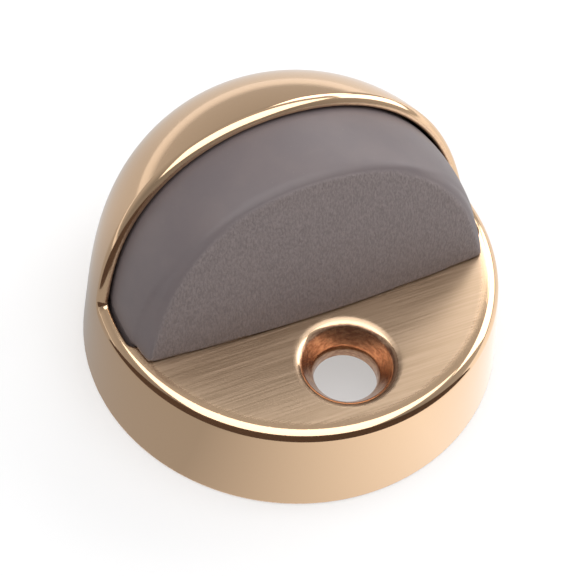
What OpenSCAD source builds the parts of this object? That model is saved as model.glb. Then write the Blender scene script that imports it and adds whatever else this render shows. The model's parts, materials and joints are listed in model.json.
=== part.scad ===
// Dome floor stop: a hollow cast brass half dome with a screw ledge in front and a rubber bumper.
// Millimetres, +Z up. The origin is the centre of the base circle, on the floor.
// The bumper faces -Y, towards the door. The part is symmetric about the plane X = 0.

/* [Body] */
// Diameter of the base circle
base_d = 47.6; // [44:0.1:56]
// Height that the dome curve reaches on its axis, just above the arch that cuts it off
dome_h = 32.4; // [30:0.1:36]
// Height of the straight side wall, where the dome curve begins
wall_h = 4.0; // [3:0.1:5]
// How far the side leans in, in millimetres for each millimetre of height
draft = 0.08; // [0.05:0.01:0.1]
// How squarely the dome curve leaves the wall: 2 is an ellipse, more is squarer
wall_fullness = 3.25; // [2.6:0.05:3.6]
// How squarely the dome curve reaches the top: 2 is an ellipse, more is squarer
top_fullness = 2.14; // [2:0.02:2.4]
// Thickness of the cast shell
shell_t = 1.2; // [1.1:0.1:1.8]
// Width of the rim that stands on the floor
rim_t = 2.3; // [2:0.1:3]

/* [Ledge] */
// Height of the flat ledge above the floor
ledge_h = 12.0; // [11:0.1:13]
// Thickness of the ledge plate
ledge_t = 4.2; // [3.5:0.1:4.3]
// Radius of the polished round along the ledge's outer edge
ledge_edge_r = 1.1; // [0.6:0.1:1.4]

/* [Arch] */
// Distance from the dome's axis back to the arch's front face, at ledge height
arch_back = 2.6; // [2:0.1:5]
// How far the arch's front face leans back from the vertical, in degrees
arch_lean = 11.4; // [8:0.1:13]

/* [Screw hole] */
// Distance from the dome's axis forward to the screw hole
hole_forward = 13.9; // [13.5:0.1:14.4]
// Diameter of the straight part of the hole
hole_d = 7.0; // [6:0.1:7.4]
// Length of the straight part of the hole
hole_land = 1.6; // [1.2:0.1:2.4]
// Full angle of the countersink's cone, in degrees
sink_angle = 70; // [64:1:90]
// Radius of the polished lip around the countersink
hole_lip_r = 0.6; // [0.4:0.1:1.2]

/* [Bumper] */
// Gap between the bumper and the shell around it
bumper_gap = 0.4; // [0.3:0.05:0.7]
// Distance from the dome's axis to the foremost point of the bumper's crowned face
face_forward = 7.5; // [7.2:0.1:8]
// Radius of the face's crown, seen from above
face_plan_r = 220; // [150:1:300]
// Radius of the face's crown, seen from the side
face_side_r = 66; // [50:1:80]
// Height of the crown's foremost point
face_crown_z = 6.2; // [5:0.05:8]

/* [Pocket] */
// Height of the pocket floor that the bumper stands on
pocket_floor_h = 7.5; // [7:0.1:8]
// Thickness of the pocket floor
pocket_floor_t = 2.5; // [2:0.1:2.8]
// Distance from the dome's axis forward to the pocket's front wall
pocket_forward = 3.7; // [3.2:0.1:4.2]
// Thickness of the pocket's front wall
pocket_wall_t = 2.0; // [1.6:0.1:2.2]

/* [Bumper fastening] */
// Distance from the dome's axis back to the bumper screw
screw_back = 6.0; // [5:0.1:8]
// Diameter of the screw's thread, drawn as a plain cylinder
screw_d = 4.9; // [4:0.1:4.9]
// Length of the screw under its head
screw_l = 12; // [10:0.5:13]
// Diameter of the pan head
head_d = 9.2; // [8:0.1:9.6]
// Height of the pan head
head_t = 2.8; // [2.4:0.1:2.9]
// Diameter of the washer
washer_d = 10.0; // [9.6:0.1:10.4]
// Thickness of the washer
washer_t = 1.0; // [0.8:0.1:1]
// Diameter of the threaded insert's sleeve
insert_d = 6.8; // [6.4:0.1:7.2]
// Length of the threaded insert
insert_l = 8.0; // [7:0.1:8.5]

/* [Hidden] */

$fn = 96;
// Steps along the dome curve, and along a small round
dome_steps = 30;
round_steps = 8;
// Facets of the very large crown of the bumper's face
crown_fn = 360;
// A cut reaches this far past the surface that it opens
over = 1;
// Cutting blocks are this large, more than the whole part
big = 80;

base_r = base_d / 2;
cavity_r = base_r - shell_t;
cavity_h = dome_h - shell_t;
under_r = base_r - rim_t;
rubber_r = cavity_r - bumper_gap;
rubber_h = cavity_h - bumper_gap;
pocket_under_h = pocket_floor_h - pocket_floor_t;

// The countersink's cone would meet the ledge at sink_r without its lip.
hole_r = hole_d / 2;
sink_half = sink_angle / 2;
sink_r = hole_r + (ledge_t - hole_land) * tan(sink_half);
// The lip's round starts this far from the sharp corner between cone and ledge
lip_reach = hole_lip_r * tan((90 - sink_half) / 2);

// Clearances of the fastening
rubber_front_gap = 0.3;
screw_clear = 0.3;
insert_bore_d = 5.0;
insert_flange_d = 8.8;
insert_flange_t = 1.0;
mould_gap = 0.02;
// Blind hole in the rubber above the insert, for the screw's tip
tip_hole_d = 5.8;
tip_hole_top = 18.0;
washer_bore_d = 5.3;

// Cross recess of the pan head
recess_l = 5.0;
recess_w = 1.1;
recess_t = 1.5;
head_edge_r = 1.5;

// One point of the dome curve, at angle a from the wall (0) to the top (90),
// for a dome of radius foot_r at the floor and height h
function dome_point(foot_r, h, a) =
    let (z = wall_h + (h - wall_h) * pow(sin(a), 2 / wall_fullness))
    [(foot_r - draft * z) * pow(cos(a), 2 / top_fullness), z];

// Half outline of such a dome, straight from the floor up to the dome curve
function dome_outline(foot_r, h) = concat(
    [[0, 0], [foot_r, 0]],
    [for (i = [0:dome_steps]) dome_point(foot_r, h, 90 * i / dome_steps)]
);

// Points of an arc about centre c, from angle a0 to angle a1
function arc(c, r, a0, a1) = [
    for (i = [0:round_steps])
        let (a = a0 + (a1 - a0) * i / round_steps)
        [c[0] + r * cos(a), c[1] + r * sin(a)]
];

// Angle along the outer dome curve at height z, and the outer radius there
function angle_at(z) = asin(pow((z - wall_h) / (dome_h - wall_h), wall_fullness / 2));
function outer_r_at(z) = dome_point(base_r, dome_h, angle_at(z))[0];

module dome_solid(foot_r, h) {
    rotate_extrude() polygon(dome_outline(foot_r, h));
}

// Everything in front of the leaning plane of the arch
module in_front_of_arch() {
    translate([0, arch_back, ledge_h])
        rotate([-arch_lean, 0, 0])
            translate([-big / 2, -big, -big / 2])
                cube([big, big, big]);
}

// The corner of metal outside the round of the ledge's edge
module ledge_edge_waste() {
    edge_r = outer_r_at(ledge_h) - ledge_edge_r;
    edge_z = ledge_h - ledge_edge_r;
    rotate_extrude()
        polygon(concat(
            arc([edge_r, edge_z], ledge_edge_r, 0, 90),
            [[edge_r, ledge_h + over], [base_r + over, ledge_h + over], [base_r + over, edge_z]]
        ));
}

// The open space above the ledge, in front of the arch
module front_cut() {
    intersection() {
        in_front_of_arch();
        union() {
            translate([-big / 2, -big / 2, ledge_h]) cube([big, big, big]);
            ledge_edge_waste();
        }
    }
}

// The space under the dome that the bumper fills, behind the pocket's front wall
module bumper_pocket() {
    intersection() {
        dome_solid(cavity_r, cavity_h);
        translate([-big / 2, -pocket_forward, pocket_floor_h]) cube([big, big, big]);
    }
}

// The hollow underside: deep under the ledge plate, shallow under the pocket floor
module underside() {
    intersection() {
        translate([0, 0, -over]) cylinder(r = under_r, h = ledge_h);
        union() {
            translate([-big / 2, -big / 2, -over])
                cube([big, big, over + pocket_under_h]);
            translate([-big / 2, -big - pocket_forward - pocket_wall_t, -over])
                cube([big, big, over + ledge_h - ledge_t]);
        }
    }
}

// The countersunk screw hole, with a rounded lip at the ledge
module screw_hole() {
    lip_c = [sink_r + lip_reach, ledge_h - hole_lip_r];
    translate([0, -hole_forward, 0])
        rotate_extrude()
            polygon(concat(
                [[0, 0], [hole_r, 0], [hole_r, ledge_h - ledge_t + hole_land]],
                arc(lip_c, hole_lip_r, 180 - sink_half, 90),
                [[sink_r + lip_reach, ledge_h + over], [0, ledge_h + over]]
            ));
}

module dome_body() {
    color("burlywood")
        difference() {
            dome_solid(base_r, dome_h);
            front_cut();
            bumper_pocket();
            underside();
            screw_hole();
            translate([0, screw_back, 0])
                cylinder(d = screw_d + 2 * screw_clear, h = ledge_h);
        }
}

// The crowned front face is the outside of a large ring, the rest of the ring clears the bumper.
module face_crown() {
    translate([0, face_plan_r - face_forward, face_crown_z])
        rotate_extrude($fn = crown_fn)
            translate([face_plan_r - face_side_r, 0])
                circle(r = face_side_r, $fn = crown_fn);
}

// The cavity in the rubber that is moulded around the insert
module insert_cavity() {
    translate([0, screw_back, pocket_floor_h - over]) {
        cylinder(d = insert_d + 2 * mould_gap, h = over + insert_l + mould_gap);
        cylinder(d = insert_flange_d + 2 * mould_gap, h = over + insert_flange_t + mould_gap);
        cylinder(d = tip_hole_d, h = over + tip_hole_top - pocket_floor_h);
    }
}

module rubber_bumper() {
    color("rosybrown")
        difference() {
            intersection() {
                dome_solid(rubber_r, rubber_h);
                face_crown();
            }
            translate([-big / 2, -big / 2, pocket_floor_h - big]) cube([big, big, big]);
            translate([-big / 2, -big - pocket_forward + rubber_front_gap, ledge_h - big])
                cube([big, big, big]);
            insert_cavity();
        }
}

// Flanged sleeve with a threaded bore, drawn plain, moulded into the bumper's underside
module bumper_insert() {
    color("goldenrod")
        translate([0, screw_back, pocket_floor_h])
            difference() {
                union() {
                    cylinder(d = insert_d, h = insert_l);
                    cylinder(d = insert_flange_d, h = insert_flange_t);
                }
                translate([0, 0, -over]) cylinder(d = insert_bore_d, h = insert_l + 2 * over);
            }
}

// Pan head screw, driven up from below through the pocket floor into the insert
module bumper_screw() {
    head_top = pocket_under_h - washer_t;
    head_r = head_d / 2;
    color("silver")
        translate([0, screw_back, head_top - head_t])
            difference() {
                rotate_extrude()
                    polygon(concat(
                        [[0, 0]],
                        arc([head_r - head_edge_r, head_edge_r], head_edge_r, -90, 0),
                        [[head_r, head_t], [screw_d / 2, head_t]],
                        [[screw_d / 2, head_t + screw_l], [0, head_t + screw_l]]
                    ));
                for (turn = [0, 90])
                    rotate([0, 0, turn])
                        translate([-recess_l / 2, -recess_w / 2, -over])
                            cube([recess_l, recess_w, over + recess_t]);
            }
}

module bumper_washer() {
    color("gainsboro")
        translate([0, screw_back, pocket_under_h - washer_t])
            difference() {
                cylinder(d = washer_d, h = washer_t);
                translate([0, 0, -over]) cylinder(d = washer_bore_d, h = washer_t + 2 * over);
            }
}

dome_body();
rubber_bumper();
bumper_insert();
bumper_screw();
bumper_washer();
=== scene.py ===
"""Dome floor stop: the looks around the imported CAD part.

Each piece is a smooth solid written as a field, in millimetres: negative inside, positive outside.
solid() turns a field into a mesh whose points lie on the field's surface, with the surface's normals.
"""

import json
import math

import bmesh
import bpy
import numpy as np
from mathutils import Matrix, Vector


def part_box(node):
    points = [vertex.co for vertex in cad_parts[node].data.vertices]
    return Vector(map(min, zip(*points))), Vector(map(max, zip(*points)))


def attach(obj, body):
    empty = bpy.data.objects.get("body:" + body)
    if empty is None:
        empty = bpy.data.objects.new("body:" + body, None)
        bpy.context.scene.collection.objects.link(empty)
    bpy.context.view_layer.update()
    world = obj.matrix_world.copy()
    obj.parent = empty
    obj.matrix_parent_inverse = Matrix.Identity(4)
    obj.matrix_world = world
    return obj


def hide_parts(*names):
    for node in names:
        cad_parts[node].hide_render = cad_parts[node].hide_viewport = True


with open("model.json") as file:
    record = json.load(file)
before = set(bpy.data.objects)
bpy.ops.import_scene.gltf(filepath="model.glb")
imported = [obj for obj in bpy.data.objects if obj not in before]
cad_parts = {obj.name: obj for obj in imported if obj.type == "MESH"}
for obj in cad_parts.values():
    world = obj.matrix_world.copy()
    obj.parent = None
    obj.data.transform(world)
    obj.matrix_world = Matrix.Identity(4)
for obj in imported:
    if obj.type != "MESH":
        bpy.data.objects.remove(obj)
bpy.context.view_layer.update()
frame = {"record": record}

MM = 0.001


def corners_mm(node):
    """Lowest and highest corner of a CAD node, in millimetres."""
    low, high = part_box(node)
    return np.array(low) / MM, np.array(high) / MM


body_high = corners_mm("dome_body")[1]
rubber_low, rubber_high = corners_mm("rubber_bumper")
insert_low, insert_high = corners_mm("bumper_insert")
screw_low, screw_high = corners_mm("bumper_screw")
washer_low, washer_high = corners_mm("bumper_washer")
mounts = {m["name"]: m for m in frame["record"]["mounts"]}

# ---------------------------------------------------------------- sizes, in mm

# Dome: its height on the axis, where the wall starts to curve, and how full its curve is
BASE_R = body_high[0]
DOME_H = 32.4
WALL_H = 4.0
DRAFT = 0.08
WALL_FULLNESS = 3.25
TOP_FULLNESS = 2.14
SHELL_T = 1.2
UNDER_R = BASE_R - 2.3

# Ledge, its countersunk hole, and the arch's leaning front plane
LEDGE_H = 12.0
LEDGE_T = 4.2
SINK_HALF = math.radians(35)
ARCH_BACK = 2.6
ARCH_LEAN = math.radians(11.4)
HOLE_Y = mounts["screw_hole"]["pos_m"][1] / MM
HOLE_R = mounts["screw_hole"]["dims"]["r_mm"]
HOLE_LAND = mounts["screw_hole"]["dims"]["length_mm"]

# Pocket that the rubber stands in, and the rubber's crowned face
POCKET_FLOOR_H = rubber_low[2]
POCKET_UNDER_H = washer_high[2]
POCKET_FRONT = -3.7
POCKET_WALL_T = 2.0
RUBBER_GAP = 0.4
RUBBER_FOOT_GAP = 0.3
FACE_FRONT = -7.5
FACE_PLAN_R = 220.0
FACE_SIDE_R = 66.0
FACE_CROWN_Z = 6.2

# Fastening: screw, washer and insert on one axis, and the room that the casting and rubber leave them
SCREW_Y = (screw_low[1] + screw_high[1]) / 2
SCREW_WAY_R = 2.75
THREAD_PITCH = 0.8
THREAD_ROOT_R = 2.0
THREAD_DEPTH = 0.42
CROSS_WING = 2.45
CROSS_HALF = 0.55
CROSS_DEPTH = 1.7
CROSS_CORE_R = 1.0
WASHER_BORE_R = 2.65
WASHER_HALF_T = 0.5
INSERT_BORE_R = 2.5
SLEEVE_R = 3.28
SLEEVE_ROOM_R = 3.42
FLANGE_R = 4.4
FLANGE_ROOM_R = 4.42
FLANGE_T = 1.0
KNURL_TEETH = 24
KNURL_TWIST = 2.2
KNURL_DEPTH = 0.1
ROOM = 0.02
TIP_ROOM_R = 2.9
TIP_ROOM_TOP = 18.0

# Rounds that polishing and moulding leave on the edges
EDGE_R = 1.15
FOOT_EDGE_R = 0.35
HOLE_LIP_R = 0.6
THROAT_EDGE_R = 0.25
POCKET_EDGE_R = 0.3
CAST_CORNER_R = 0.9
LEDGE_CORNER_R = 0.45
RUBBER_FACE_EDGE_R = 0.8
RUBBER_CORNER_R = 0.25
RUBBER_FOOT_EDGE_R = 0.25
RUBBER_FOOT_R = 0.5
RUBBER_STEP_R = 0.4
HEAD_R = 1.5
TURNED_EDGE_R = 0.15
FINE_EDGE_R = 0.1
BORE_EDGE_R = 0.2

# How far the ledge sinks at its rim, and how late: the higher the power, the nearer to the rim
LEDGE_ROLL = 0.3
LEDGE_ROLL_POWER = 12

# The edge of the rubber's face grows rounder over this height above the ledge
RUBBER_SOFTENING_H = 4

# The countersink's cone is cut from this far above the ledge
SINK_RISE = 2

# Radii, round the hole, of the countersink's cone at the ledge and of the end of its lip
SINK_R = HOLE_R + (LEDGE_T - HOLE_LAND) * math.tan(SINK_HALF)
LIP_END = SINK_R + HOLE_LIP_R * math.tan((math.pi / 2 - SINK_HALF) / 2)


# ------------------------------------------------------------- field toolbox


# Edges that bend further than the limit are halved, and points nearer than WELD, in mm, are joined
BEND_LIMIT = math.radians(5)
WELD = 0.03

# Newton steps that move points onto the surface, each no longer than the reach along an axis, in mm
SETTLE_STEPS = 6
SETTLE_REACH = 0.2


def both(a, b, r=0.0):
    """Where two solids overlap, with their common edge rounded to radius r."""
    return np.minimum(-r, np.maximum(a, b)) + np.hypot(np.maximum(a + r, 0), np.maximum(b + r, 0))


def either(a, b, r=0.0):
    """Two solids joined, with a fillet of radius r in their common corner."""
    return -both(-a, -b, r)


def without(a, b, r=0.0):
    """Solid a with solid b cut out of it, the edge of the cut rounded to radius r."""
    return both(a, -b, r)


def dome(radius, z, foot_r, height):
    """A dome on a drafted wall, foot_r at the floor, height tall on its axis."""
    z_safe = np.clip(z, -5.0, height + 5.0)
    wall_r = foot_r - DRAFT * z_safe
    rise = np.maximum(z_safe - WALL_H, 0) / (height - WALL_H)
    ratio = np.maximum(radius / wall_r, 1e-4)
    total = ratio**TOP_FULLNESS + rise**WALL_FULLNESS
    level = total ** (1 / TOP_FULLNESS) - 1
    scale = total ** (1 / TOP_FULLNESS - 1) / TOP_FULLNESS
    by_radius = scale * TOP_FULLNESS * ratio ** (TOP_FULLNESS - 1) / wall_r
    by_height = by_radius * DRAFT * ratio + scale * WALL_FULLNESS * rise ** (
        WALL_FULLNESS - 1
    ) / (height - WALL_H)
    return np.clip(level / np.maximum(np.hypot(by_radius, by_height), 0.02), -8, 8)


def crossings_along(axis, nodes, value, inside):
    """The grid lines of one axis that cross the surface: which, where, and which start inside."""
    first = [slice(None)] * 3
    second = [slice(None)] * 3
    first[axis], second[axis] = slice(0, -1), slice(1, None)
    first, second = tuple(first), tuple(second)
    crossed = inside[first] != inside[second]
    gap = np.where(crossed, value[first] - value[second], 1.0)
    share = np.where(crossed, value[first] / gap, 0.0)[..., None]
    points = (nodes[first] * (1 - share) + nodes[second] * share) * crossed[..., None]
    return crossed, points, inside[first]


def quads_around(axis, crossed, starts_inside, number):
    """A quad around each crossed grid line of one axis, through the four cells that share the line."""
    u, v = (axis + 1) % 3, (axis + 2) % 3
    at = np.argwhere(crossed)
    at = at[(at[:, u] > 0) & (at[:, v] > 0)]
    at = at[(at[:, u] < number.shape[u]) & (at[:, v] < number.shape[v])]
    ring = []
    for du, dv in ((1, 1), (0, 1), (0, 0), (1, 0)):
        cell = at.copy()
        cell[:, u] -= du
        cell[:, v] -= dv
        ring.append(number[tuple(cell.T)])
    ring = np.stack(ring, -1)
    outward = starts_inside[tuple(at.T)]
    return np.where(outward[:, None], ring, ring[:, ::-1])


def surface_nets(field, axes, shear=(0.0, 0.0)):
    """Quads where the field crosses zero on a grid. shear = (slope, height) leans the grid along Y."""
    nodes = np.stack(np.meshgrid(*axes, indexing="ij"), -1)
    nodes[..., 1] += shear[0] * (nodes[..., 2] - shear[1])
    value = field(nodes[..., 0], nodes[..., 1], nodes[..., 2])
    inside = value < 0
    cells = tuple(n - 1 for n in value.shape)
    total = np.zeros(cells + (3,))
    count = np.zeros(cells, int)
    lines = []
    for axis in range(3):
        crossed, points, starts_inside = crossings_along(axis, nodes, value, inside)
        lines.append((crossed, starts_inside))
        u, v = [a for a in range(3) if a != axis]
        for i, j in ((0, 0), (0, 1), (1, 0), (1, 1)):
            near = [slice(None)] * 3
            near[u] = slice(i, i + cells[u])
            near[v] = slice(j, j + cells[v])
            total += points[tuple(near)]
            count += crossed[tuple(near)]
    active = count > 0
    number = np.full(cells, -1)
    number[active] = np.arange(active.sum())
    quads = [quads_around(axis, *line, number) for axis, line in enumerate(lines)]
    return total[active] / count[active][:, None], np.concatenate(quads)


def gradient(field, points, step=1e-3):
    """The field's slope at each point."""
    slope = np.empty_like(points)
    for axis in range(3):
        ahead, behind = points.copy(), points.copy()
        ahead[:, axis] += step
        behind[:, axis] -= step
        slope[:, axis] = field(*ahead.T) - field(*behind.T)
    return slope / (2 * step)


def settled(field, points):
    """The points moved onto the field's surface, and the surface's normals there."""
    for _ in range(SETTLE_STEPS):
        slope = gradient(field, points)
        steep = np.maximum((slope**2).sum(1), 0.05)
        step = (field(*points.T) / steep)[:, None] * slope
        points -= np.clip(step, -SETTLE_REACH, SETTLE_REACH)
    normals = gradient(field, points)
    normals /= np.maximum(np.linalg.norm(normals, axis=1), 1e-9)[:, None]
    return points, normals


def split_bends(mesh, normals, points, zone):
    """Halve the edges inside the zone that the surface bends along."""
    ends = np.empty(len(mesh.edges) * 2, int)
    mesh.edges.foreach_get("vertices", ends)
    first, second = ends.reshape(-1, 2).T
    bend = (normals[first] * normals[second]).sum(1) < math.cos(BEND_LIMIT)
    chosen = np.nonzero(bend & zone(*points[first].T) & zone(*points[second].T))[0]
    grid = bmesh.new()
    grid.from_mesh(mesh)
    grid.edges.ensure_lookup_table()
    edges = [grid.edges[i] for i in chosen]
    bmesh.ops.subdivide_edges(grid, edges=edges, cuts=1, use_grid_fill=True)
    grid.to_mesh(mesh)
    grid.free()


def points_of(mesh):
    points = np.empty(len(mesh.vertices) * 3)
    mesh.vertices.foreach_get("co", points)
    return points.reshape(-1, 3)


def weld(mesh, points):
    """Move the mesh's points to these, and join the ones that then lie nearly on each other."""
    mesh.vertices.foreach_set("co", points.ravel())
    grid = bmesh.new()
    grid.from_mesh(mesh)
    bmesh.ops.dissolve_degenerate(grid, dist=WELD, edges=grid.edges)
    grid.to_mesh(mesh)
    grid.free()


def solid(name, field, axes, shear=(0.0, 0.0), zone=None):
    """A smooth mesh object of the field's surface, finer where it bends inside the zone."""
    points, quads = surface_nets(field, axes, shear)
    points, normals = settled(field, points)
    mesh = bpy.data.meshes.new(name)
    mesh.from_pydata(points.tolist(), [], quads.tolist())
    if zone:
        split_bends(mesh, normals, points, zone)
        weld(mesh, settled(field, points_of(mesh))[0])
        points, normals = settled(field, points_of(mesh))
    mesh.vertices.foreach_set("co", (points * MM).ravel())
    mesh.polygons.foreach_set("use_smooth", np.ones(len(mesh.polygons), bool))
    mesh.normals_split_custom_set_from_vertices(normals.tolist())
    mesh.update()
    piece = bpy.data.objects.new(name, mesh)
    bpy.context.scene.collection.objects.link(piece)
    return piece


def spaced(*stops):
    """Grid lines through stops given as value, step, value, step ... value."""
    lines = []
    for start, step, end in zip(stops[:-2:2], stops[1:-1:2], stops[2::2]):
        lines.append(np.linspace(start, end, max(1, round((end - start) / step)), False))
    return np.concatenate([*lines, [stops[-1]]])


# ------------------------------------------------------------------- fields


def behind_arch(y, z):
    """Distance behind the arch's leaning front plane."""
    slope = math.tan(ARCH_LEAN)
    return (y - ARCH_BACK - slope * (z - LEDGE_H)) * math.cos(ARCH_LEAN)


def with_screw_hole(body, x, y, z):
    """The ledge's countersunk hole, cut from the body."""
    from_hole = np.hypot(x, y - HOLE_Y)
    land_top = LEDGE_H - LEDGE_T + HOLE_LAND
    sink = from_hole - HOLE_R - (z - land_top) * math.tan(SINK_HALF)
    sink = both(sink * math.cos(SINK_HALF), z - LEDGE_H - SINK_RISE)
    body = without(body, sink, HOLE_LIP_R)
    throat = both(from_hole - HOLE_R, z - LEDGE_H)
    return without(body, throat, THROAT_EDGE_R)


def with_hollows(body, x, y, z):
    """The rubber's pocket, the two depths of the underside and the screw's way, cut from the body."""
    radius = np.hypot(x, y)
    cavity = dome(radius, z, BASE_R - SHELL_T, DOME_H - SHELL_T)
    pocket = both(cavity, POCKET_FRONT - y, CAST_CORNER_R)
    pocket = both(pocket, POCKET_FLOOR_H - z, CAST_CORNER_R)
    body = without(body, pocket, POCKET_EDGE_R)
    shallow = both(radius - UNDER_R, z - POCKET_UNDER_H, CAST_CORNER_R)
    deep = both(radius - UNDER_R, z - LEDGE_H + LEDGE_T, CAST_CORNER_R)
    deep = both(deep, y - POCKET_FRONT + POCKET_WALL_T, CAST_CORNER_R)
    body = without(body, either(shallow, deep, CAST_CORNER_R), POCKET_EDGE_R)
    screw_way = both(np.hypot(x, y - SCREW_Y) - SCREW_WAY_R, z - LEDGE_H)
    return without(body, screw_way, BORE_EDGE_R)


def body_field(x, y, z):
    radius = np.hypot(x, y)
    outside = both(dome(radius, z, BASE_R, DOME_H), -z, FOOT_EDGE_R)
    roll_off = LEDGE_ROLL * (radius / BASE_R) ** LEDGE_ROLL_POWER
    front = both(LEDGE_H - roll_off - z, behind_arch(y, z), LEDGE_CORNER_R)
    body = without(outside, front, EDGE_R)
    return with_hollows(with_screw_hole(body, x, y, z), x, y, z)


def insert_room(x, y, z):
    """The hole in the rubber that the insert fills, with room for the screw's tip above it."""
    radius = np.hypot(x, y - SCREW_Y)
    room = both(radius - SLEEVE_ROOM_R, z - insert_high[2] - ROOM)
    room = either(room, both(radius - FLANGE_ROOM_R, z - insert_low[2] - FLANGE_T - ROOM))
    return either(room, both(radius - TIP_ROOM_R, z - TIP_ROOM_TOP))


def rubber_field(x, y, z):
    radius = np.hypot(x, y)
    foot_r = BASE_R - SHELL_T - RUBBER_GAP
    block = dome(radius, z, foot_r, DOME_H - SHELL_T - RUBBER_GAP)
    out = np.hypot(x, y - FACE_FRONT - FACE_PLAN_R)
    crown = np.hypot(out - FACE_PLAN_R + FACE_SIDE_R, z - FACE_CROWN_Z) - FACE_SIDE_R
    softening = np.clip((z - LEDGE_H) / RUBBER_SOFTENING_H, 0, 1)
    corner_r = RUBBER_CORNER_R + (RUBBER_FACE_EDGE_R - RUBBER_CORNER_R) * softening
    block = both(block, crown, corner_r)
    overhang = both(block, LEDGE_H - z, RUBBER_FOOT_EDGE_R)
    foot = both(block, POCKET_FLOOR_H - z, RUBBER_FOOT_R)
    foot = both(foot, POCKET_FRONT + RUBBER_FOOT_GAP - y, RUBBER_FOOT_R)
    return without(either(overhang, foot, RUBBER_STEP_R), insert_room(x, y, z))


def screw_field(x, y, z):
    y = y - SCREW_Y
    radius = np.hypot(x, y)
    head_bottom = screw_low[2]
    seat = washer_low[2]
    head_r = (screw_high[0] - screw_low[0]) / 2
    head = both(radius - head_r, head_bottom - z, HEAD_R)
    head = both(head, z - seat, TURNED_EDGE_R)
    turn = np.arctan2(y, x) / (2 * math.pi)
    phase = np.abs(((z - seat) / THREAD_PITCH - turn) % 1.0 - 0.5) * 2
    thread_r = THREAD_ROOT_R + THREAD_DEPTH * np.clip(phase * 1.25 - 0.12, 0, 1)
    shank = both((radius - thread_r) * 0.75, z - screw_high[2], 0.3)
    shank = both(shank, seat - 0.5 - z)
    return without(either(head, shank, TURNED_EDGE_R), cross_recess(x, y, z - head_bottom), 0.08)


def cross_recess(x, y, depth):
    """The cross in the screw's head, narrower the deeper it goes."""
    radius = np.hypot(x, y)
    wing = CROSS_WING - 0.55 * depth
    half = CROSS_HALF - 0.12 * depth
    slot_x = both(np.abs(x) - wing, np.abs(y) - half, FINE_EDGE_R)
    slot_y = both(np.abs(y) - wing, np.abs(x) - half, FINE_EDGE_R)
    cross = either(either(slot_x, slot_y, 0.2), radius - CROSS_CORE_R + 0.3 * depth, FINE_EDGE_R)
    return both(cross, depth - CROSS_DEPTH + radius * 0.35, FINE_EDGE_R)


def washer_field(x, y, z):
    radius = np.hypot(x, y - SCREW_Y)
    outer_r = (washer_high[0] - washer_low[0]) / 2
    middle = (washer_low[2] + washer_high[2]) / 2
    plate = both(radius - outer_r, np.abs(z - middle) - WASHER_HALF_T, TURNED_EDGE_R)
    return without(plate, radius - WASHER_BORE_R, FINE_EDGE_R)


def insert_field(x, y, z):
    y = y - SCREW_Y
    radius = np.hypot(x, y)
    turn = KNURL_TEETH * np.arctan2(y, x)
    twist = KNURL_TWIST * z
    knurl = 0.5 * (np.sin(turn + twist) + np.sin(turn - twist))
    sleeve = both(radius - SLEEVE_R - KNURL_DEPTH * knurl, z - insert_high[2], BORE_EDGE_R)
    flange = both(radius - FLANGE_R, z - insert_low[2] - FLANGE_T, TURNED_EDGE_R)
    body = both(either(sleeve, flange, FINE_EDGE_R), insert_low[2] - z, TURNED_EDGE_R)
    return without(body, radius - INSERT_BORE_R, BORE_EDGE_R)


# ---------------------------------------------------------------- materials


# Colours: brass polished, brushed, along the arch, in the hole (painted darker as its shade) and as
# cast, then the rubber (its grain painted with shade and light) and the rest
BRASS = (0.84, 0.58, 0.37)
BRASS_SATIN = (0.52, 0.37, 0.245)
BRASS_WORN = (0.58, 0.42, 0.29)
BRASS_STREAK = (0.74, 0.5, 0.33)
# The countersink's brass: painted darker and redder than the polish as the shade inside the hole, and
# blotched at random
BRASS_BORE_SHADED = (0.66, 0.42, 0.27)
BRASS_BORE_SHADED_DARK = (0.42, 0.23, 0.15)
BRASS_CAST = (0.55, 0.36, 0.2)
BRASS_CAST_DARK = (0.34, 0.21, 0.12)
RUBBER = (0.145, 0.119, 0.122)
RUBBER_WARM = (0.162, 0.131, 0.131)
# The rubber's grain: painted shade in its pits and painted light on its peaks
RUBBER_PIT_SHADE = (0.165, 0.132, 0.128)
RUBBER_PEAK_LIGHT = (0.27, 0.222, 0.214)
RUBBER_DUST = (0.4, 0.36, 0.34)
ZINC = (0.72, 0.73, 0.74)
ZINC_DARK = (0.52, 0.54, 0.57)
YELLOW_BRASS = (0.82, 0.64, 0.33)
YELLOW_BRASS_DARK = (0.66, 0.47, 0.2)
FLAG_BROWN = (0.05, 0.035, 0.03)
FLAG_GLOW = (1, 0.75, 0.6)
FLOOR_GREY = (0.5, 0.5, 0.504)
WHITE = (1, 1, 1)
BLACK = (0, 0, 0)

# Where the brass's finish changes, in mm from the dome's axis
SATIN_R = 20.4
POLISH_R = 21.6
CAST_R = 22.4


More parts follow.
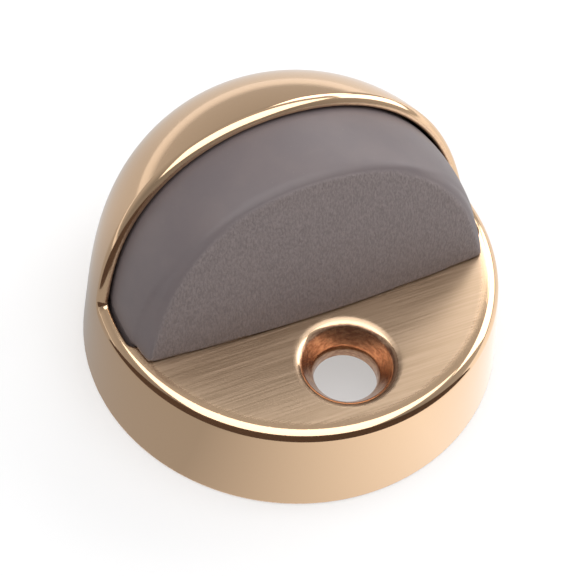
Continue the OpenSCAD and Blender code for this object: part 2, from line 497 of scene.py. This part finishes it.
class Nodes:
    """A short way to write a material's node tree. Positions are the object's own, in metres."""

    def __init__(self, name):
        self.material = bpy.data.materials.new(name)
        self.material.use_nodes = True
        self.tree = self.material.node_tree
        self.shader = self.tree.nodes["Principled BSDF"]
        where = self.add("ShaderNodeTexCoord")
        self.here = where.outputs["Object"]
        self.normal = where.outputs["Normal"]

    def add(self, kind, **settings):
        node = self.tree.nodes.new(kind)
        for key, value in settings.items():
            setattr(node, key, value)
        return node

    def plug(self, socket, value):
        if isinstance(value, bpy.types.NodeSocket):
            self.tree.links.new(value, socket)
        else:
            socket.default_value = value

    def set(self, name, value):
        self.plug(self.shader.inputs[name], value)

    def set_colour(self, name, colour):
        self.set(name, (*colour, 1))

    def math(self, operation, *values):
        node = self.add("ShaderNodeMath", operation=operation)
        for socket, value in zip(node.inputs, values):
            self.plug(socket, value)
        return node.outputs[0]

    def scaled(self, scale):
        node = self.add("ShaderNodeVectorMath", operation="MULTIPLY")
        self.plug(node.inputs[0], self.here)
        node.inputs[1].default_value = scale
        return node.outputs[0]

    def moved(self, offset_mm, scale):
        """The position in millimetres, scaled and then moved."""
        node = self.add("ShaderNodeVectorMath", operation="MULTIPLY_ADD")
        self.plug(node.inputs[0], self.here)
        node.inputs[1].default_value = [s / MM for s in scale]
        node.inputs[2].default_value = offset_mm
        return node.outputs[0]

    def length(self, vector):
        node = self.add("ShaderNodeVectorMath", operation="LENGTH")
        self.plug(node.inputs[0], vector)
        return node.outputs["Value"]

    def blend(self, share, a, b):
        node = self.add("ShaderNodeMix", data_type="FLOAT")
        self.plug(node.inputs[0], share)
        self.plug(node.inputs[2], a)
        self.plug(node.inputs[3], b)
        return node.outputs[0]

    def dot(self, vector, direction):
        node = self.add("ShaderNodeVectorMath", operation="DOT_PRODUCT")
        self.plug(node.inputs[0], vector)
        node.inputs[1].default_value = direction
        return node.outputs["Value"]

    def noise(self, scale, detail=2.0, roughness=0.5, stretch=(1, 1, 1)):
        node = self.add("ShaderNodeTexNoise")
        self.plug(node.inputs["Vector"], self.scaled(stretch))
        node.inputs["Scale"].default_value = scale
        node.inputs["Detail"].default_value = detail
        node.inputs["Roughness"].default_value = roughness
        return node.outputs["Fac"]

    def ramp(self, value, low, high, out_low=0.0, out_high=1.0, smooth=True):
        """A value that runs from out_low to out_high while the input runs from low to high."""
        node = self.add("ShaderNodeMapRange")
        node.interpolation_type = "SMOOTHSTEP" if smooth else "LINEAR"
        for socket, v in zip(node.inputs, (value, low, high, out_low, out_high)):
            self.plug(socket, v)
        return node.outputs["Result"]

    def mix(self, share, a, b):
        node = self.add("ShaderNodeMix", data_type="RGBA")
        self.plug(node.inputs["Factor"], share)
        self.plug(node.inputs[6], (*a, 1) if isinstance(a, tuple) else a)
        self.plug(node.inputs[7], (*b, 1) if isinstance(b, tuple) else b)
        return node.outputs[2]

    def bump(self, height, distance=MM):
        node = self.add("ShaderNodeBump")
        self.plug(node.inputs["Height"], height)
        node.inputs["Strength"].default_value = 1.0
        node.inputs["Distance"].default_value = distance
        return node.outputs["Normal"]

    def split(self, vector):
        node = self.add("ShaderNodeSeparateXYZ")
        self.plug(node.inputs[0], vector)
        return node.outputs


def brass_zones(n):
    """Masks of the satin ledge, the arch's face, the cast inside and the countersink."""
    x, y, z = n.split(n.scaled((1000, 1000, 1000)))[:3]
    radius = n.length(n.scaled((1000, 1000, 0)))
    from_hole = n.length(n.moved((0, -HOLE_Y, 0), (1, 1, 0)))
    level = n.ramp(n.math("ABSOLUTE", n.math("SUBTRACT", z, LEDGE_H)), 0.1, 0.25, 1, 0)
    off_lip = n.ramp(from_hole, LIP_END - 0.35, LIP_END - 0.05)
    off_rim = n.ramp(radius, SATIN_R, POLISH_R, 1, 0)
    on_ledge = n.math("MULTIPLY", n.math("MULTIPLY", level, off_lip), off_rim)

    lean = n.math("MULTIPLY", n.math("SUBTRACT", z, LEDGE_H), math.tan(ARCH_LEAN))
    behind = n.math("SUBTRACT", n.math("SUBTRACT", y, ARCH_BACK), lean)
    above = n.ramp(z, LEDGE_H, LEDGE_H + 0.3)
    face = n.ramp(n.math("ABSOLUTE", behind), 0.06, 0.14, 1, 0)
    on_face = n.math("MULTIPLY", face, above)

    shell = n.math("SUBTRACT", radius, n.math("MULTIPLY", z, -DRAFT))
    low = n.ramp(z, LEDGE_H - 0.6, LEDGE_H - 1.2)
    inner = n.ramp(shell, CAST_R, CAST_R + 0.3, 1, 0)
    past_hole = n.ramp(from_hole, LIP_END + 0.2, LIP_END + 0.4)
    inside = n.math("MULTIPLY", n.math("MULTIPLY", low, inner), past_hole)

    in_hole = n.ramp(from_hole, SINK_R, SINK_R - 0.2)
    in_hole = n.math("MULTIPLY", in_hole, n.ramp(z, LEDGE_H - 0.1, LEDGE_H - 0.35))
    return on_ledge, on_face, inside, in_hole


def brass():
    """Polished rose brass, satin on the ledge and the arch's face, as cast inside, and painted darker
    and redder in the countersink as the hole's shade.
    """
    n = Nodes("cast_brass")
    on_ledge, on_face, inside, in_hole = brass_zones(n)
    grain = n.noise(1.0, 3.0, 0.6, (90, 5200, 900))
    fine = n.noise(1.0, 2.0, 0.5, (260, 16000, 2000))
    brushed = n.math("ADD", n.math("MULTIPLY", grain, 0.6), n.math("MULTIPLY", fine, 0.4))
    scuffs = n.noise(1.0, 4.0, 0.65, (1500, 1500, 4200))
    cast = n.noise(2600, 5.0, 0.6)
    waves = n.noise(150, 1.5, 0.4)
    speckle = n.noise(5200, 2.0, 0.6)

    n.set("Metallic", 1.0)
    worn = n.mix(n.ramp(grain, 0.35, 0.65), BRASS_SATIN, BRASS_WORN)
    colour = n.mix(on_ledge, BRASS, worn)
    streaks = n.mix(n.ramp(scuffs, 0.4, 0.62), BRASS_STREAK, BRASS)
    colour = n.mix(on_face, colour, streaks)
    colour = n.mix(inside, colour, n.mix(n.ramp(cast, 0.35, 0.7), BRASS_CAST_DARK, BRASS_CAST))
    # The countersink is painted darker and redder as the shade inside the hole, blotched at random by
    # the scuff noise
    colour = n.mix(in_hole, colour, n.mix(n.ramp(scuffs, 0.35, 0.65), BRASS_BORE_SHADED_DARK, BRASS_BORE_SHADED))
    n.set("Base Color", colour)

    rough = n.blend(on_ledge, 0.1, n.ramp(grain, 0.3, 0.7, 0.3, 0.4))
    rough = n.blend(on_face, rough, 0.3)
    rough = n.blend(in_hole, rough, 0.24)
    n.set("Roughness", n.blend(inside, rough, 0.55))

    relief = n.math("MULTIPLY", waves, 0.02)
    scratched = n.math("MULTIPLY", brushed, n.ramp(on_ledge, 0.5, 1.0))
    scuffed = n.math("MULTIPLY", scuffs, on_face)
    pitted = n.math("MULTIPLY", cast, inside)
    for texture, depth in ((scratched, 0.012), (scuffed, 0.02), (pitted, 0.1), (speckle, 0.0003)):
        relief = n.math("ADD", relief, n.math("MULTIPLY", texture, depth))
    n.set("Normal", n.bump(relief))
    return n.material


def rubber():
    """Moulded rubber: a smooth band and a front face with grain, its grain painted with shade in the
    pits and light on the peaks.
    """
    n = Nodes("grey_rubber")
    facing = n.split(n.normal)[1]
    front = n.ramp(facing, -0.72, -0.93)
    streaks = n.noise(1.0, 3.0, 0.6, (2400, 2400, 600))
    grain = n.noise(1.0, 3.0, 0.6, (5200, 5200, 1900))
    cloud = n.noise(170, 3.0, 0.6)
    dust = n.noise(5200, 2.0, 0.7)
    tone = n.mix(n.ramp(cloud, 0.3, 0.7), RUBBER, RUBBER_WARM)
    # On the front face the grain's tone follows the bump's relief: painted shade in the pits and painted
    # light on the peaks, which also lightens the face against the band
    grain_shading = n.mix(n.ramp(grain, 0.3, 0.7), RUBBER_PIT_SHADE, RUBBER_PEAK_LIGHT)
    tone = n.mix(n.math("MULTIPLY", front, 0.65), tone, grain_shading)
    tone = n.mix(n.ramp(dust, 0.66, 0.8, 0, 0.25), tone, RUBBER_DUST)
    n.set("Base Color", tone)
    n.set("Roughness", n.blend(front, 0.46, 0.62))
    n.set("Specular IOR Level", 0.5)
    texture = n.math("ADD", n.math("MULTIPLY", streaks, 0.13), n.math("MULTIPLY", grain, 0.08))
    relief = n.math("MULTIPLY", texture, front)
    relief = n.math("ADD", relief, n.math("MULTIPLY", dust, 0.004))
    n.set("Normal", n.bump(relief))
    return n.material


def hazy_metal(name, dark, pale, haze_scale, roughness, grain_scale):
    """Machined metal with a soft haze in its colour and roughness, and a faint grain."""
    n = Nodes(name)
    haze = n.noise(haze_scale, 3.0, 0.6)
    n.set("Metallic", 1.0)
    n.set("Base Color", n.mix(haze, dark, pale))
    n.set("Roughness", n.ramp(haze, 0.3, 0.7, *roughness))
    n.set("Normal", n.bump(n.noise(grain_scale, 2.0), 0.01 * MM))
    return n.material


# ------------------------------------------------------------------- pieces

COARSE = 1.0
FINE_STEP = 0.15 * COARSE

# What is split finer: the ledge's rim, the arch, the hole and the foot, in mm
RIM_FROM_R = 20
ARCH_FROM_Z = 12.2
HOLE_TO_R = 6.5
EDGES_FROM_Z = 7.5
FOOT_TO_Z = 1.2
FOOT_FROM_R = 22.8


def dress(piece, node, material):
    piece.data.materials.append(material)
    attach(piece, "root")
    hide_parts(node)


def grid_around(low, high, step):
    """Even grid lines that reach past the box on every side."""
    return [spaced(a - step * 1.5, step * COARSE, b + step * 1.5) for a, b in zip(low, high)]


def seen_rounds(x, y, z):
    """The edges that show: ledge, hole, arch and the foot's outer edge."""
    radius = np.hypot(x, y)
    by_hole = np.hypot(x, y - HOLE_Y) < HOLE_TO_R
    above = (z > EDGES_FROM_Z) & ((radius > RIM_FROM_R) | (z > ARCH_FROM_Z) | by_hole)
    return above | ((z < FOOT_TO_Z) & (radius > FOOT_FROM_R))


def make_body():
    """The casting, on a grid that leans with the arch and is finer along the arch and by the ledge."""
    across = spaced(-24.5, 0.37 * COARSE, 24.5)
    along = spaced(-25.0, 0.36 * COARSE, 1.6, FINE_STEP, 4.2, 0.47 * COARSE, 26.5)
    below = (-0.5, 0.45 * COARSE, 10.46, FINE_STEP)
    ledge = (LEDGE_H - 0.19, 0.2, LEDGE_H + 0.01)
    above = (FINE_STEP, 12.46, 0.42 * COARSE, 32.6)
    up = spaced(*below, *ledge, *above)
    shear = (math.tan(ARCH_LEAN), LEDGE_H)
    piece = solid("dome_casting", body_field, (across, along, up), shear, seen_rounds)
    dress(piece, "dome_body", brass())


def make_rubber():
    axes = grid_around(rubber_low, rubber_high, 0.38)
    piece = solid("bumper_block", rubber_field, axes)
    dress(piece, "rubber_bumper", rubber())


def make_fastening():
    steel = hazy_metal("zinc_steel", ZINC_DARK, ZINC, 900, (0.22, 0.38), 4000)
    piece = solid("pan_screw", screw_field, grid_around(screw_low, screw_high, 0.12))
    dress(piece, "bumper_screw", steel)
    piece = solid("plain_washer", washer_field, grid_around(washer_low, washer_high, 0.14))
    dress(piece, "bumper_washer", steel)
    turned = hazy_metal("insert_brass", YELLOW_BRASS_DARK, YELLOW_BRASS, 1200, (0.25, 0.4), 5000)
    piece = solid("threaded_insert", insert_field, grid_around(insert_low, insert_high, 0.14))
    dress(piece, "bumper_insert", turned)


# --------------------------------------------------------- camera and studio

CAMERA_AZIMUTH = math.radians(-26.61)
CAMERA_ELEVATION = math.radians(52.88)
CAMERA_ROLL = math.radians(4.30)
CAMERA_DISTANCE = 250 * MM
CAMERA_TARGET = Vector((-6.083, 0, 18.076)) * MM
CAMERA_LENS = 143.8
CAMERA_SHIFT = 0.0694


SENSOR_WIDTH = 36
CLIP = (0.01, 20)
FRONT = (math.sin(CAMERA_AZIMUTH), -math.cos(CAMERA_AZIMUTH), 0)

# Studio, in metres: the floor, the dark flag in front, and the sweep on the floor round the foot
FLOOR_REACH = 3.0
FLAG_R = 0.043
FLAG_LOW = 0.0095
FLAG_HIGH = 0.036
FLAG_TAPER = 0.6
FLAG_HALF_TURN = math.radians(78)
SWEEP_IN = 0.02385
SWEEP_OUT = 0.15
SWEEP_H = 0.0001
SWEEP_BRIGHT_SIDE = (0.951, -0.309, 0)
CARD_STEPS = 72
AIM = (0, 0, 0.012)


def make_camera():
    data = bpy.data.cameras.new("camera")
    camera = bpy.data.objects.new("camera", data)
    bpy.context.scene.collection.objects.link(camera)
    level = math.cos(CAMERA_ELEVATION)
    back = Vector((FRONT[0] * level, FRONT[1] * level, math.sin(CAMERA_ELEVATION)))
    right = Vector((0, 0, 1)).cross(back).normalized()
    up = back.cross(right)
    turned = Matrix((right, up, back)).transposed() @ Matrix.Rotation(CAMERA_ROLL, 3, "Z")
    place = CAMERA_TARGET + back * CAMERA_DISTANCE
    camera.matrix_world = Matrix.Translation(place) @ turned.to_4x4()
    data.sensor_width = SENSOR_WIDTH
    data.lens = CAMERA_LENS
    data.shift_x = CAMERA_SHIFT
    data.shift_y = -CAMERA_SHIFT
    data.clip_start, data.clip_end = CLIP
    bpy.context.scene.camera = camera


def make_light(name, place, size, radiance):
    """A softbox at place, aimed at the object, as bright as radiance seen straight on."""
    data = bpy.data.lights.new(name, "AREA")
    data.shape = "RECTANGLE"
    data.size, data.size_y = size
    data.energy = radiance * math.pi * size[0] * size[1]
    light = bpy.data.objects.new(name, data)
    bpy.context.scene.collection.objects.link(light)
    light.location = place
    light.rotation_mode = "QUATERNION"
    light.rotation_quaternion = (Vector(AIM) - Vector(place)).to_track_quat("-Z", "Y")
    return light


def make_floor():
    """A pale floor that glows like a light table."""
    corners = ((-1, -1), (1, -1), (1, 1), (-1, 1))
    mesh = bpy.data.meshes.new("floor")
    mesh.from_pydata([(x * FLOOR_REACH, y * FLOOR_REACH, 0) for x, y in corners], [], [(0, 1, 2, 3)])
    floor = bpy.data.objects.new("floor", mesh)
    bpy.context.scene.collection.objects.link(floor)
    n = Nodes("light_table")
    n.set_colour("Base Color", FLOOR_GREY)
    n.set("Roughness", 0.9)
    n.set_colour("Emission Color", WHITE)
    n.set("Emission Strength", 0.43)
    mesh.materials.append(n.material)


def ring_card(name, inner, outer, half_turn, rise, material):
    """A bent card from inner to outer (radius, height), which only shows in the polish."""
    facing = CAMERA_AZIMUTH - math.pi / 2
    points, faces = [], []
    for i in range(CARD_STEPS + 1):
        share = 2 * i / CARD_STEPS - 1
        angle = facing + half_turn * share
        for radius, height in (inner, outer):
            points.append((radius * math.cos(angle), radius * math.sin(angle), height * rise(share)))
        if i:
            faces.append((2 * i - 2, 2 * i, 2 * i + 1, 2 * i - 1))
    mesh = bpy.data.meshes.new(name)
    mesh.from_pydata(points, [], faces)
    mesh.materials.append(material)
    card = bpy.data.objects.new(name, mesh)
    bpy.context.scene.collection.objects.link(card)
    for ray in ("camera", "diffuse", "shadow", "transmission", "volume_scatter"):
        setattr(card, "visible_" + ray, False)


def flag_rise(share):
    """The flag's height along its length: full in the middle, tapering to its ends."""
    return max(math.cos(share * math.pi / 2), 0.0) ** FLAG_TAPER


def make_flag():
    """A low dark card in front, for the dark line along the ledge's rim."""
    n = Nodes("flag_brown")
    n.set_colour("Base Color", FLAG_BROWN)
    n.set("Roughness", 1.0)
    n.set("Specular IOR Level", 0.0)
    n.set_colour("Emission Color", FLAG_GLOW)
    n.set("Emission Strength", 0.05)
    ring_card("flag", (FLAG_R, FLAG_LOW), (FLAG_R, FLAG_HIGH), FLAG_HALF_TURN, flag_rise, n.material)


def make_sweep():
    """A card on the floor, graded from left to right, for the skirt's reflection."""
    n = Nodes("sweep_graded")
    bearing = n.add("ShaderNodeVectorMath", operation="NORMALIZE")
    n.plug(bearing.inputs[0], n.here)
    bearing = bearing.outputs["Vector"]
    side = n.dot(bearing, SWEEP_BRIGHT_SIDE)
    glow_front = n.ramp(side, -0.6, 0.65, 0.42, 1.17, smooth=False)
    glow_behind = n.ramp(side, -0.6, 0.65, 0.62, 0.98, smooth=False)
    to_rear = n.ramp(n.dot(bearing, FRONT), 0.05, -0.5)
    n.set_colour("Base Color", BLACK)
    n.set("Specular IOR Level", 0.0)
    n.set_colour("Emission Color", WHITE)
    n.set("Emission Strength", n.blend(to_rear, glow_front, glow_behind))
    ring_card("sweep", (SWEEP_IN, SWEEP_H), (SWEEP_OUT, SWEEP_H), math.pi, lambda share: 1.0, n.material)


def make_world():
    """A soft grey room, dimmer on the camera's side."""
    world = bpy.data.worlds.new("studio")
    bpy.context.scene.world = world
    world.use_nodes = True
    tree = world.node_tree
    where = tree.nodes.new("ShaderNodeTexCoord").outputs["Generated"]
    split = tree.nodes.new("ShaderNodeSeparateXYZ")
    tree.links.new(where, split.inputs[0])
    ramp = tree.nodes.new("ShaderNodeValToRGB")
    tree.links.new(split.outputs["Z"], ramp.inputs["Fac"])
    stops = ((0.0, 0.52), (0.25, 0.48), (0.6, 0.4), (1.0, 0.52))
    for i, (at, level) in enumerate(stops):
        stop = ramp.color_ramp.elements[i] if i < 2 else ramp.color_ramp.elements.new(at)
        stop.position = at
        stop.color = (level, level, level, 1)
    toward = tree.nodes.new("ShaderNodeVectorMath")
    toward.operation = "DOT_PRODUCT"
    toward.inputs[1].default_value = FRONT
    tree.links.new(where, toward.inputs[0])
    dim = tree.nodes.new("ShaderNodeMapRange")
    for socket, value in zip(dim.inputs[1:5], (-0.1, 0.6, 1.0, 0.6)):
        socket.default_value = value
    tree.links.new(toward.outputs["Value"], dim.inputs[0])
    background = tree.nodes["Background"]
    tree.links.new(ramp.outputs["Color"], background.inputs["Color"])
    tree.links.new(dim.outputs["Result"], background.inputs["Strength"])


def make_studio():
    make_floor()
    make_flag()
    make_sweep()
    make_world()
    box = make_light("overhead", (-0.085, -0.17, 0.6), (0.95, 0.7), 1.9)
    box.rotation_mode = "XYZ"
    box.rotation_euler = (0, 0, CAMERA_AZIMUTH)
    make_light("key", (0.33, 0.39, 0.41), (0.3, 0.3), 2.7)
    make_light("side", (0.52, 0.06, 0.28), (0.42, 0.42), 2.5)
    bpy.context.scene.view_settings.view_transform = "Standard"


make_camera()
make_body()
make_rubber()
make_fastening()
make_studio()
